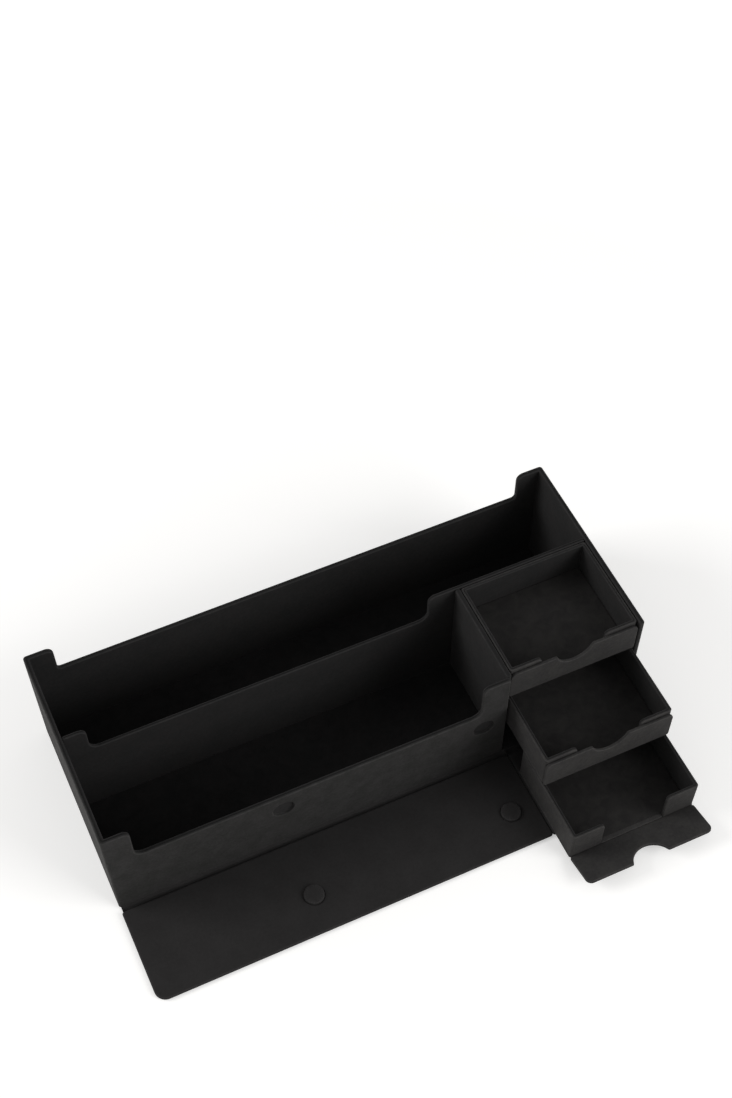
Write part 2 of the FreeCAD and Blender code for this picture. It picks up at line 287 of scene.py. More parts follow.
# %% [markdown]
# ## One covered board
# A board could be a cube with a Bevel modifier, but ears, notches and round recesses make a bevel pinch.
# Here a board is two things that share their border points. Its rim is a profile carried along the outline:
# a short flat lip, a quarter round, the flat of the edge, and the same again underneath. Its two faces are
# filled with triangles between that rim and an even field of points. A place function then takes the flat
# board, with u along it, v up it and w through it, to where it stands in the box.

# %% Mesh helpers
BORDER_CLEAR = 0.35


def grid_quads(rows, columns, first=0, closed=True):
    """Corner numbers of the quads of a grid of points, closed round its columns or open."""
    number = first + np.arange(rows * columns).reshape(rows, columns)
    following = np.roll(number, -1, axis=1) if closed else number[:, 1:]
    number = number if closed else number[:, :-1]
    quads = np.stack([number[:-1], number[1:], following[1:], following[:-1]], axis=-1)
    return quads.reshape(-1, 4)


def inside(points, loop):
    """Whether each point lies in a closed loop: a ray to the right crosses an odd number of its sides."""
    a, b = loop, np.roll(loop, -1, axis=0)
    u, v = points[:, :1], points[:, 1:]
    rise = np.where(b[:, 1] == a[:, 1], 1e-12, b[:, 1] - a[:, 1])
    crosses = (a[:, 1] > v) != (b[:, 1] > v)
    return (crosses & (u < a[:, 0] + (v - a[:, 1]) / rise * (b[:, 0] - a[:, 0]))).sum(1) % 2 == 1


def field(loops, breaks, step):
    """Even points inside the first loop and outside the others, kept clear of every loop."""
    low, high = loops[0].min(0), loops[0].max(0)
    u = np.r_[np.arange(low[0] + step / 2, high[0], step), np.asarray(breaks, float)]
    v = np.arange(low[1] + step / 2, high[1], step)
    points = np.stack(np.meshgrid(np.unique(u), v), axis=-1).reshape(-1, 2)
    points = points[inside(points, loops[0])]
    for loop in loops[1:]:
        points = points[~inside(points, loop)]
    border = np.concatenate([np.r_[loop, (loop + np.roll(loop, -1, axis=0)) / 2] for loop in loops])
    gap = np.linalg.norm(points[:, None] - border[None], axis=2).min(1)
    return points[gap > BORDER_CLEAR * step]


def fill(loops, points):
    """Triangles between the loops and the points, as numbers into all of them in that order."""
    every = np.concatenate([*loops, points])
    sides, first = [], 0
    for loop in loops:
        number = first + np.arange(len(loop))
        sides.append(np.c_[number, np.roll(number, -1)])
        first += len(loop)
    inside_only = 1
    made = delaunay_2d_cdt(every.tolist(), np.concatenate(sides).tolist(), [], inside_only, 1e-5)
    source = np.array([given[0] for given in made[3]])
    triangles = source[np.array(made[2])]
    centre = every[triangles].mean(1)
    kept = inside(centre, loops[0])
    for hole in loops[1:]:
        kept &= ~inside(centre, hole)
    triangles = triangles[kept]
    a, b, c = (every[triangles[:, k]] for k in range(3))
    flipped = (b - a)[:, 0] * (c - a)[:, 1] < (b - a)[:, 1] * (c - a)[:, 0]
    triangles[flipped] = triangles[flipped][:, ::-1]
    return triangles


def new_piece(name, points, faces, edge, material):
    """Puts points in millimetres, faces and the edge number of each point into a smooth mesh object."""
    mesh = bpy.data.meshes.new(name)
    mesh.from_pydata((points * MM).tolist(), [], faces)
    mesh.polygons.foreach_set("use_smooth", np.ones(len(faces), bool))
    mesh.attributes.new("edge", "FLOAT", "POINT").data.foreach_set("value", np.asarray(edge, np.float32))
    mesh.materials.append(material)
    piece = bpy.data.objects.new(name, mesh)
    bpy.context.scene.collection.objects.link(piece)
    return piece


def dress(piece, body, slot, *nodes):
    """Lets a piece ride on a body and hides the nodes of the frame that it stands for. The slot is not used.
    """
    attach(piece, body)
    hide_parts(*nodes)
    print(piece.name, "for", ", ".join(nodes) or "no node", "-", len(piece.data.polygons), "faces")
    return piece


print("a closed grid of 3 x 4 points has", len(grid_quads(3, 4)), "quads")

# %% Board helper
QUARTER = np.linspace(0, math.pi / 2, 8)
LIP = 0.45
ROUND_PARTS = 56
SEAM = np.array([(0, 0.36), (0.35, 0.17), (0.55, 0), (0.35, -0.17), (0, -0.36)])
# The top of a rim and its seam groove are darkened as painted shade; a recess mouth gets a pale ring of
# painted highlight and wear.
TOP_SHADE, MOUTH_LIGHT_AND_WEAR = -0.9, 0.7


def rim_profile(thick, edge, seam=None, top_shade=TOP_SHADE):
    """Lines (inset, height, arris tone, top tone, groove) down one rim.

    They run down a lip, a quarter round, the flat of the edge, a quarter round and a lip. The arris is made
    paler by sin(pi * share), a painted highlight and wear, and the flat is darkened by the given top amount,
    a painted shade. A seam at the given height is a groove across the flat, darkened with the same painted
    shade.
    """
    share = 1 - np.sin(QUARTER)
    arris_light_and_wear, shaded = np.sin(math.pi * share), top_shade * (1 - share) ** 4
    upper = np.c_[edge * share, thick - edge * (1 - np.cos(QUARTER)), arris_light_and_wear, shaded, 0 * share]
    lower = upper[::-1] * (1, -1, 1, 1, 1) + (0, thick, 0, 0, 0)
    groove = np.zeros((0 if seam is None else len(SEAM), 5))
    if seam is not None:
        groove[:, 1], groove[:, 3], groove[:, 4] = seam + SEAM[:, 1], top_shade, SEAM[:, 0]
    lips = np.array([(edge + LIP, thick, 0, 0, 0), (edge + LIP, 0, 0, 0, 0)])
    return np.r_[lips[:1], upper, groove, lower, lips[1:]]


def recess_profile(radius, depth, edge):
    """Radius and depth into a round recess: lip, rounded mouth, wall, hollow corner and floor."""
    mouth = np.c_[radius + edge * (1 - np.sin(QUARTER)), edge * (1 - np.cos(QUARTER))]
    foot = np.c_[radius - edge * (1 - np.cos(QUARTER)), depth - edge * (1 - np.sin(QUARTER))]
    return np.r_[[(radius + edge + LIP, 0)], mouth, foot, [(radius / 2, depth)]]


def board(name, corners, thick, place, material, edge=1.0, breaks=(), recesses=(), step=7.0, untoned_sides=(),
          seam=None, backing=None, top_shade=TOP_SHADE):
    """A covered board: u and v from its outline, w from 0 to thick, and recesses (u, v, radius, depth, edge).

    The rim is the point of the outline plus inset times its inward normal, at the profile's height. A recess
    is its centre plus radius times (cos t, sin t), at the profile's depth under the face, with a pale ring of
    painted highlight and wear at its mouth. Only the top of the rim is grooved and darkened with painted
    shade.
    Sides of the rim at the listed u values keep the plain tone, with no painted highlight. Below a seam in
    the rim, the board has the backing's finish.
    """
    path, normal = outline(corners, breaks)
    top = np.clip(-normal[:, 1], 0, 1)
    profile = rim_profile(thick, edge, seam, top_shade)
    rim = path + (profile[:, :1] + profile[:, 4:] * top)[:, :, None] * normal
    parts = [np.dstack([rim, np.repeat(profile[:, 1:2], len(path), axis=1)]).reshape(-1, 3)]
    faces = grid_quads(len(profile), len(path)).tolist()
    # Edge number of each rim point: paler arris (painted highlight and wear), darker top and seam (painted
    # shade).
    rim_light_shade_and_wear = [(profile[:, 2:3] + profile[:, 3:4] * top).reshape(-1)]
    count = len(parts[0])
    loops, border = [rim[0]], [np.arange(len(path))]
    angle = np.linspace(0, 2 * math.pi, ROUND_PARTS, endpoint=False)
    for u, v, radius, depth, soft in recesses:
        bowl = recess_profile(radius, depth, soft)
        ring = np.array([u, v]) + bowl[:, :1, None] * np.c_[np.cos(angle), np.sin(angle)]
        down = np.repeat(thick - bowl[:, 1:], ROUND_PARTS, axis=1)
        parts.append(np.r_[np.dstack([ring, down]).reshape(-1, 3), [(u, v, thick - depth)]])
        faces += grid_quads(len(bowl), ROUND_PARTS, count)[:, ::-1].tolist()
        last = count + (len(bowl) - 1) * ROUND_PARTS + np.arange(ROUND_PARTS)
        faces += np.c_[last, np.roll(last, -1), np.full(ROUND_PARTS, last[-1] + 1)].tolist()
        # A pale ring at the recess mouth: painted highlight and wear.
        share = np.clip(1 - np.abs(bowl[:, 0] - radius - soft / 2) / soft, 0, 1)
        rim_light_shade_and_wear.append(np.r_[np.repeat(MOUTH_LIGHT_AND_WEAR * share, ROUND_PARTS), 0])
        loops.append(ring[0])
        border.append(count + np.arange(ROUND_PARTS))
        count += len(parts[-1])
    for height, rows, order in ((thick, loops, 1), (0, [rim[-1]], -1)):
        points = field(rows, breaks, step)
        ring_numbers = np.concatenate(border) if order == 1 else (len(profile) - 1) * len(path) + border[0]
        number = np.r_[ring_numbers, count + np.arange(len(points))]
        faces += number[fill(rows, points)][:, ::order].tolist()
        parts.append(np.c_[points, np.full(len(points), height)])
        rim_light_shade_and_wear.append(np.zeros(len(points)))
        count += len(points)
    points, rim_light_shade_and_wear = np.concatenate(parts), np.concatenate(rim_light_shade_and_wear)
    # At these sides the arris gets no painted highlight.
    for u in untoned_sides:
        rim_light_shade_and_wear[np.abs(points[:, 0] - u) < 2 * (edge + LIP)] = 0
    piece = new_piece(name, place(*points.T), faces, rim_light_shade_and_wear, material)
    if backing:
        piece.data.materials.append(backing)
        behind = [int(max(points[corner, 2] for corner in face) <= seam) for face in faces]
        piece.data.polygons.foreach_set("material_index", behind)
    return piece


def flat(origin, along, up):
    """Place function of a flat board: origin + u along + v up + w out, where out is along x up."""
    origin, along, up = (np.array(x, float) for x in (origin, along, up))
    out = np.cross(along, up)

    def place(u, v, w):
        """Points of the board in the box."""
        return origin + u[:, None] * along + v[:, None] * up + w[:, None] * out

    return place


X_AXIS, Y_AXIS, Z_AXIS = (1, 0, 0), (0, 1, 0), (0, 0, 1)


def lying(z):
    """Place function of a board that lies flat with its underside at the height z."""
    return flat((0, 0, z), X_AXIS, Y_AXIS)


print("board helper ready: rim of", len(rim_profile(4, 1)), "points")

# %% [markdown]
# ## The walls, folded round three corners
# On the real case one cover runs round all the walls, so their corners are folds with no seam. Four
# separate boards would show a line at each corner. Here the walls are one long flat strip, with its ears
# and cuts drawn along it, and the place function bends the strip round the plan. The outside turns each
# corner with a larger radius than the inside, so the two sides follow two plan paths, and a point's depth
# blends one into the other.

# %% Fold helper
FOLD_PARTS, FOLD_ROOM = 8, 3


def folded(corners, thick, outer_round, inner_round):
    """Place function of a strip that follows plan corners, and the lengths of its bends and corners.

    The plan is walked with the outside on the right. Round a corner, both paths are centre + radius *
    (direction * sin t - inward * cos t), t from 0 to 90 degrees. The strip's own length s is measured along
    the unrounded outer path.
    """
    corners = np.array(corners, float)
    leg = np.diff(corners, axis=0)
    length = np.linalg.norm(leg, axis=1)
    leg /= length[:, None]
    inward = np.c_[-leg[:, 1], leg[:, 0]]
    reached = np.r_[0, np.cumsum(length)]
    settle = thick + inner_round + FOLD_ROOM
    t = np.linspace(0, math.pi / 2, FOLD_PARTS + 1)[:, None]
    along, outer, inner = [0], [corners[:1]], [corners[:1] + thick * inward[:1]]
    for k in range(1, len(leg)):
        sweep = leg[k - 1] * np.sin(t) - inward[k - 1] * np.cos(t)
        before, after = corners[k] - settle * leg[k - 1], corners[k] + settle * leg[k]
        bend = inward[k - 1] - leg[k - 1]
        outer += [[before], corners[k] + outer_round * (bend + sweep), [after]]
        inner += [[before + thick * inward[k - 1]],
                  corners[k] + thick * bend + inner_round * (bend + sweep),
                  [after + thick * inward[k]]]
        turn = outer_round * (4 * t[:, 0] / math.pi - 1)
        along += [*(reached[k] + np.r_[-settle, turn, settle])]
    along = np.array([*along, reached[-1]])
    outer = np.concatenate([*outer, corners[-1:]])
    inner = np.concatenate([*inner, corners[-1:] + thick * inward[-1:]])

    def place(u, v, w):
        """Points of the strip in the box: depth w blends the inner path into the outer one."""
        out = np.stack([np.interp(u, along, outer[:, k]) for k in (0, 1)], axis=1)
        within = np.stack([np.interp(u, along, inner[:, k]) for k in (0, 1)], axis=1)
        share = (w / thick)[:, None]
        return np.c_[within + share * (out - within), v]

    return place, along[1:-1], reached


print("fold helper ready:", FOLD_PARTS, "facets to a corner")

# %% Case walls
front_low, front_high = node_box("front_wall")
back_low, back_high = node_box("back_wall")
right_low, right_high = node_box("right_wall")
left_low, left_high = node_box("left_wall")
WALL = left_high[0] - left_low[0]
TOP = back_high[2]
BACK_EAR, BACK_CUT, BACK_CUT_ROUND = 23.0, 80.0, 3.0
FRONT_EAR, FRONT_CUT, FRONT_CUT_ROUND = 22.0, 70.5, 8.0
EAR_ROUND, END_ROUND = 6.0, 2.0
case_plan = [(right_high[0], right_low[1]), (right_high[0], back_high[1]), (left_low[0], back_high[1]),
             (left_low[0], front_low[1]), (front_high[0], front_low[1])]
wall_place, wall_breaks, wall_run = folded(case_plan, WALL, outer_round=2.5, inner_round=1.0)
back_start, back_end, front_start, front_end = wall_run[1:]
wall_corners = [
    (0, 0, END_ROUND), (front_end, 0, END_ROUND), (front_end, TOP, END_ROUND),
    (front_end - FRONT_EAR, TOP, EAR_ROUND), (front_end - FRONT_EAR, FRONT_CUT, FRONT_CUT_ROUND),
    (front_start + FRONT_EAR, FRONT_CUT, FRONT_CUT_ROUND), (front_start + FRONT_EAR, TOP, EAR_ROUND),
    (back_end - BACK_EAR, TOP, EAR_ROUND), (back_end - BACK_EAR, BACK_CUT, BACK_CUT_ROUND),
    (back_start + BACK_EAR, BACK_CUT, BACK_CUT_ROUND), (back_start + BACK_EAR, TOP, EAR_ROUND),
    (0, TOP, END_ROUND)]

stud_low, stud_high = node_box("front_flap_studs")
STUD_RADIUS = (stud_high[1] - stud_low[1]) / 2
STUD_HEIGHT = stud_high[2] - stud_low[2]
STUD_X = (stud_low[0] + STUD_RADIUS, stud_high[0] - STUD_RADIUS)
stud_y = (stud_low[1] + stud_high[1]) / 2
magnet_low, magnet_high = node_box("front_wall_magnets")
RECESS_CLEAR, RECESS_EDGE = 0.7, 0.8
recess_z = (magnet_low[2] + magnet_high[2]) / 2
recesses = [(front_start + x - front_low[0], recess_z, STUD_RADIUS + RECESS_CLEAR, STUD_HEIGHT, RECESS_EDGE)
            for x in STUD_X]
walls = board("case_walls", wall_corners, WALL, wall_place, CASE_COVER, edge=1.3, breaks=wall_breaks,
              recesses=recesses, seam=WALL / 2, backing=INNER_COVER)
dress(walls, "case", "covered_board", "front_wall", "left_wall", "back_wall", "right_wall")

# %% [markdown]
# ## Boards inside the case
# The base, the long divider, the partition and the two shelves are plain covered boards that stand between
# the walls. The base is let in between the walls, because the walls' cover reaches down to the table, and
# it comes forward to the case's front where the drawers leave no room for a wall.

# %% Base, divider, partition and shelves
base_low, base_high = node_box("base_board")
FIT = 0.1
base_left, base_right = left_high[0] + FIT, right_low[0] - FIT
base_back, base_front = back_low[1] - FIT, front_high[1] + FIT
WALL_FOOT, BASE_ROUND = 2.5, 1.2
mouth_left, mouth_front = front_high[0] - WALL_FOOT, base_low[1] + FIT
mouth_step = right_low[1] + WALL_FOOT
mouth_right = base_high[0] - FIT
base_corners = [(u, v, BASE_ROUND) for u, v in (
    (base_left, base_front), (mouth_left, base_front), (mouth_left, mouth_front), (mouth_right, mouth_front),
    (mouth_right, mouth_step), (base_right, mouth_step), (base_right, base_back), (base_left, base_back))]
base = board("case_base", base_corners, base_high[2], lying(0), INNER_COVER, edge=0.6)
dress(base, "case", "inner_board", "base_board")

divider_low, divider_high = node_box("mat_divider")
DIVIDER_EAR, DIVIDER_CUT, DIVIDER_STEP = 18.0, 80.0, 22.0
SHEET_ROUND = 1.6
partition_low, partition_high = node_box("bay_partition")
divider_left, divider_right = divider_low[0] + FIT, divider_high[0] - FIT
cut_left, cut_right = divider_low[0] + DIVIDER_EAR, partition_low[0] - DIVIDER_STEP
divider_corners = [
    (divider_left, divider_low[2], END_ROUND), (divider_right, divider_low[2], END_ROUND),
    (divider_right, TOP, END_ROUND), (cut_right, TOP, EAR_ROUND),
    (cut_right, DIVIDER_CUT, FRONT_CUT_ROUND), (cut_left, DIVIDER_CUT, FRONT_CUT_ROUND),
    (cut_left, TOP, EAR_ROUND), (divider_left, TOP, END_ROUND)]
divider = board("long_divider", divider_corners, divider_high[1] - divider_low[1],
                flat((0, divider_high[1], 0), X_AXIS, Z_AXIS), INNER_COVER, edge=1.1,
                seam=(divider_high[1] - divider_low[1]) / 2)
dress(divider, "case", "inner_board", "mat_divider")

partition = board("bay_partition_cover",
                  rectangle(partition_low[1:] + (FIT, 0), partition_high[1:] - (FIT, 0), END_ROUND),
                  partition_high[0] - partition_low[0],
                  flat((partition_low[0], 0, 0), Y_AXIS, Z_AXIS), INNER_COVER, edge=1.3)
dress(partition, "case", "inner_board", "bay_partition")

for shelf in ("lower_shelf", "upper_shelf"):
    low, high = node_box(shelf)
    piece = board(shelf + "_cover", rectangle(low[:2] + FIT, high[:2] - FIT, SHEET_ROUND), high[2] - low[2],
                  lying(low[2]), INNER_COVER, edge=0.8)
    dress(piece, "case", "inner_board", shelf)

# %% [markdown]
# ## Linings
# Each floor carries a sheet of microfibre, glued down, and one more hides the magnets inside the front
# wall. They are boards too, only thinner and with a smaller rim.

# %% Floor and wall linings
LINING_EDGE, FLOOR_LINING_ROUND, WALL_LINING_ROUND = 0.3, 1.5, 2.5
for node, body in (("deck_floor_lining", "case"), ("mat_floor_lining", "case"),
                   ("top_floor_lining", "top_drawer"), ("middle_floor_lining", "middle_drawer"),
                   ("bottom_floor_lining", "bottom_drawer")):
    low, high = node_box(node)
    piece = board(node + "_pile", rectangle(low[:2], high[:2], FLOOR_LINING_ROUND), high[2] - low[2],
                  lying(low[2]), LINING if body == "case" else DRAWER_LINING, edge=LINING_EDGE)
    dress(piece, body, "lining", node)

low, high = node_box("front_wall_lining")
piece = board("front_wall_lining_pile", rectangle(low[[0, 2]], high[[0, 2]], WALL_LINING_ROUND),
              high[1] - low[1], flat((0, high[1], 0), X_AXIS, Z_AXIS), LINING, edge=LINING_EDGE)
dress(piece, "case", "lining", "front_wall_lining")

# %% [markdown]
# ## The front flap
# The flap lies on the table, hinged along the foot of the front wall. Its cover runs on from the case, so
# the hinge is a soft groove with the cover at its bottom. The long leaf folds up. The leaf under the
# drawers stays down. The two boards end just before the groove, and the groove gets its own strip of cover.

# %% Flap leaves
flap_low, flap_high = node_box("front_flap_board")
bay_low, bay_high = node_box("bay_flap")
FLAP_CORNER, FLAP_EDGE, GROOVE, SPLIT = 9.0, 1.2, 4.6, 0.06
SEAT_GAP, SEAT_DEPTH, SEAT_EDGE = 0.5, 0.6, 0.3
flap_thick = flap_high[2] - flap_low[2]
hinge_line = base_low[1] - GROOVE
flap = board("front_flap_cover",
             [(flap_low[0], flap_low[1], FLAP_CORNER), (flap_high[0], flap_low[1], END_ROUND),
              (flap_high[0], hinge_line, END_ROUND), (flap_low[0], hinge_line, END_ROUND)],
             flap_thick, lying(0), FLAP_COVER, edge=FLAP_EDGE, untoned_sides=[flap_high[0]],
             recesses=[(x, stud_y, STUD_RADIUS + SEAT_GAP, SEAT_DEPTH, SEAT_EDGE) for x in STUD_X])
dress(flap, "front_flap", "covered_board", "front_flap_board")
bay_left = flap_high[0] + SPLIT
bay_leaf = board("bay_flap_cover",
                 [(bay_left, bay_low[1], END_ROUND), (bay_high[0], bay_low[1], FLAP_CORNER),
                  (bay_high[0], hinge_line, END_ROUND), (bay_left, hinge_line, END_ROUND)],
                 flap_thick, lying(0), FLAP_COVER, edge=FLAP_EDGE, untoned_sides=[bay_left])
dress(bay_leaf, "case", "covered_board", "bay_flap")

# %% [markdown]
# A hinge strip is a thin flat section carried along the hinge. Its middle line is a short path in the plane
# across the hinge. It starts at the fixed piece and ends inside the flap's board. At the wall the line starts
# as a small fillet, as the cover does where it comes down the wall and turns outward.

# %% Hinge strips
STRIP = 0.7
STRIP_STEP = 0.25


def across(points):
    """Even points along a path (y, z) through corner points, spaced by STRIP_STEP."""
    points = np.array(points, float)
    reached = np.r_[0, np.cumsum(np.linalg.norm(np.diff(points, axis=0), axis=1))]
    even = np.linspace(0, reached[-1], math.ceil(reached[-1] / STRIP_STEP) + 1)
    return np.c_[np.interp(even, reached, points[:, 0]), np.interp(even, reached, points[:, 1])]


def strip(name, line, left, right, material):
    """Carries a flat section along X: the middle line, moved by half a thickness to both sides of itself."""
    ahead = np.gradient(line, axis=0)
    side = np.c_[-ahead[:, 1], ahead[:, 0]] / np.linalg.norm(ahead, axis=1)[:, None]
    loop = np.r_[line + side * STRIP / 2, (line - side * STRIP / 2)[::-1]]
    turn = loop[:, 0] * np.roll(loop[:, 1], -1) - np.roll(loop[:, 0], -1) * loop[:, 1]
    loop = loop if turn.sum() > 0 else loop[::-1]
    x = np.linspace(left, right, math.ceil((right - left) / RUN_STEP) + 1)
    points = np.dstack([np.repeat(x[:, None], len(loop), axis=1),
                        np.broadcast_to(loop[:, 0], (len(x), len(loop))),
                        np.broadcast_to(loop[:, 1], (len(x), len(loop)))]).reshape(-1, 3)
    faces = grid_quads(len(x), len(loop))[:, ::-1].tolist()
    half = len(line)
    one = np.arange(half)
    pairs = np.c_[one, 2 * half - 1 - one]
    cap = np.c_[pairs[:-1], pairs[1:, ::-1]]
    faces += cap[:, ::-1].tolist() + (cap + (len(x) - 1) * len(loop)).tolist()
    return new_piece(name, points, faces, np.zeros(len(points)), material)


STRIP_Z, STRIP_END, FILLET, INTO_WALL, INTO_FLAP = 0.6, 1.2, 2.4, 0.2, 3.0
sweep = np.linspace(0, math.pi / 2, 9)
fillet_y = base_low[1] + INTO_WALL - FILLET * (1 - np.cos(sweep))
fillet_z = STRIP_Z + FILLET * (1 - np.sin(sweep))
groove_line = across([*zip(fillet_y, fillet_z), (hinge_line - INTO_FLAP, STRIP_Z)])
front_hinge = strip("front_hinge_cover", groove_line, flap_low[0] + STRIP_END, flap_high[0], FLAP_COVER)
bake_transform(front_hinge)
bay_hinge = strip("bay_hinge_cover", groove_line, bay_left, bay_high[0] - STRIP_END, FLAP_COVER)
dress(bay_hinge, "case", "covered_board")

# %% [markdown]
# The two studs on the flap are covered discs. When the flap folds up, they drop into the recesses of the
# front wall, and the magnets hold them there. A disc with a soft shoulder is a profile turned round an
# axis.

# %% Studs
STUD_SHOULDER, STUD_LIGHT_AND_WEAR = 0.9, 0.8
UNDER_SEAT, OVER_FLAP = 0.2, 0.3


def turned(profile, centre):
    """Profile (radius, height) turned round an upright axis: centre + radius (cos t, sin t), ends closed."""
    angle = np.linspace(0, 2 * math.pi, ROUND_PARTS, endpoint=False)
    ring = np.array(centre) + np.dstack([profile[:, :1] * np.cos(angle), profile[:, :1] * np.sin(angle),
                                         np.repeat(profile[:, 1:], ROUND_PARTS, axis=1)])
    ends = np.array(centre) + np.array([(0, 0, profile[0, 1]), (0, 0, profile[-1, 1])])
    points = np.r_[ring.reshape(-1, 3), ends]
    last = (len(profile) - 1) * ROUND_PARTS + np.arange(ROUND_PARTS)
    first = np.arange(ROUND_PARTS)
    low, high = len(points) - 2, len(points) - 1
    faces = grid_quads(len(profile), ROUND_PARTS)[:, ::-1].tolist()
    faces += np.c_[last, np.roll(last, -1), np.full(ROUND_PARTS, high)].tolist()
    faces += np.c_[np.roll(first, -1), first, np.full(ROUND_PARTS, low)].tolist()
    return points, faces


stud_foot = np.array([(STUD_RADIUS, -SEAT_DEPTH - UNDER_SEAT), (STUD_RADIUS, -SEAT_DEPTH / 2),
                      (STUD_RADIUS, OVER_FLAP)])
stud_top = np.c_[STUD_RADIUS - STUD_SHOULDER * (1 - np.cos(QUARTER)),
                 STUD_HEIGHT - STUD_SHOULDER * (1 - np.sin(QUARTER))]
stud_profile = np.r_[stud_foot, stud_top, [(STUD_RADIUS / 2, STUD_HEIGHT)]]
stud_points, stud_faces, stud_edge = [], [], []
for x in STUD_X:
    points, faces = turned(stud_profile, (x, stud_y, stud_low[2]))
    shift = sum(len(made) for made in stud_points)
    stud_points.append(points)
    stud_faces += [[corner + shift for corner in face] for face in faces]
    # The stud's rounded shoulder is paler: painted highlight and wear.
    shoulder = np.abs(points[:, 2] - stud_high[2]) < STUD_SHOULDER
    rim = np.abs(np.hypot(points[:, 0] - x, points[:, 1] - stud_y) - STUD_RADIUS) < STUD_SHOULDER
    stud_edge.append((shoulder & rim) * STUD_LIGHT_AND_WEAR)
studs = new_piece("front_flap_stud_covers", np.concatenate(stud_points), stud_faces,
                  np.concatenate(stud_edge), FLAP_COVER)
dress(studs, "front_flap", "covered_board", "front_flap_studs")

# %% [markdown]
# ## The drawers
# A drawer is a tray on a base plate that is a little wider than the tray, with a folding front. The tray's
# sides, back and two front posts are one strip of thin board, folded round four corners like the case. The
# front flap has a finger notch, drawn as one large round between two small ones. Two of the flaps stand up
# and the lowest one is folded out, so its place function turns the same outline round the hinge.

# %% Drawer outlines
POST_ROUND, POST_FOOT_ROUND = 4.0, 1.6
TRAY_FLOOR, FLOOR_ROUND = 1.2, 1.1
POST_WIDTH, TRAY_WALL, TRAY_EDGE = 27.0, 3.0, 0.8
# A lighter painted shade on the tops of tray walls and drawer flaps.
TRAY_TOP_SHADE = -0.3
NOTCH_HALF, NOTCH_RADIUS, NOTCH_MOUTH = 15.23, 15.7, 1.5
NOTCH_SLOPE = math.radians(71)
FLAP_FRONT_CORNER, FLAP_FRONT_EDGE = 5.0, 0.8


def flap_corners(half_width, foot, top):
    """Outline of a drawer's front flap. The notch is a wide V whose point gets the notch radius."""
    notch_point = top - NOTCH_HALF * math.tan(NOTCH_SLOPE)
    return [(-half_width, foot, END_ROUND), (half_width, foot, END_ROUND),
            (half_width, top, FLAP_FRONT_CORNER), (NOTCH_HALF, top, NOTCH_MOUTH),
            (0, notch_point, NOTCH_RADIUS), (-NOTCH_HALF, top, NOTCH_MOUTH),
            (-half_width, top, FLAP_FRONT_CORNER)]


def tray_walls(name, low, high):
    """Sides, back and posts of a tray, as one strip of board from post to post."""
    middle = (low[0] + high[0]) / 2
    gap = (high[0] - low[0]) / 2 - POST_WIDTH
    plan = [(middle + gap, low[1]), (high[0], low[1]), (high[0], high[1]), (low[0], high[1]),
            (low[0], low[1]), (middle - gap, low[1])]
    place, breaks, run = folded(plan, TRAY_WALL, outer_round=2.0, inner_round=0.8)
    corners = [(0, low[2], POST_FOOT_ROUND), (run[-1], low[2], POST_FOOT_ROUND),
               (run[-1], high[2], POST_ROUND), (0, high[2], POST_ROUND)]
    return board(name, corners, TRAY_WALL, place, DRAWER_COVER, edge=TRAY_EDGE, breaks=breaks, step=6.0,
                 seam=TRAY_WALL / 2, backing=INNER_COVER, top_shade=TRAY_TOP_SHADE)


def tray_floor(name, low, high):
    """Floor board of a tray, which comes forward between the posts."""
    middle = (low[0] + high[0]) / 2
    gap = (high[0] - low[0]) / 2 - POST_WIDTH - FIT
    left, right = low[0] + TRAY_WALL + FIT, high[0] - TRAY_WALL - FIT
    front, back = low[1] + TRAY_WALL + FIT, high[1] - TRAY_WALL - FIT
    corners = [(u, v, FLOOR_ROUND) for u, v in (
        (middle - gap, low[1]), (middle + gap, low[1]), (middle + gap, front), (right, front), (right, back),
        (left, back), (left, front), (middle - gap, front))]
    return board(name, corners, TRAY_FLOOR, lying(low[2]), DRAWER_COVER, edge=0.5)


print("tray walls", TRAY_WALL, "mm thick, posts", POST_WIDTH, "mm wide")

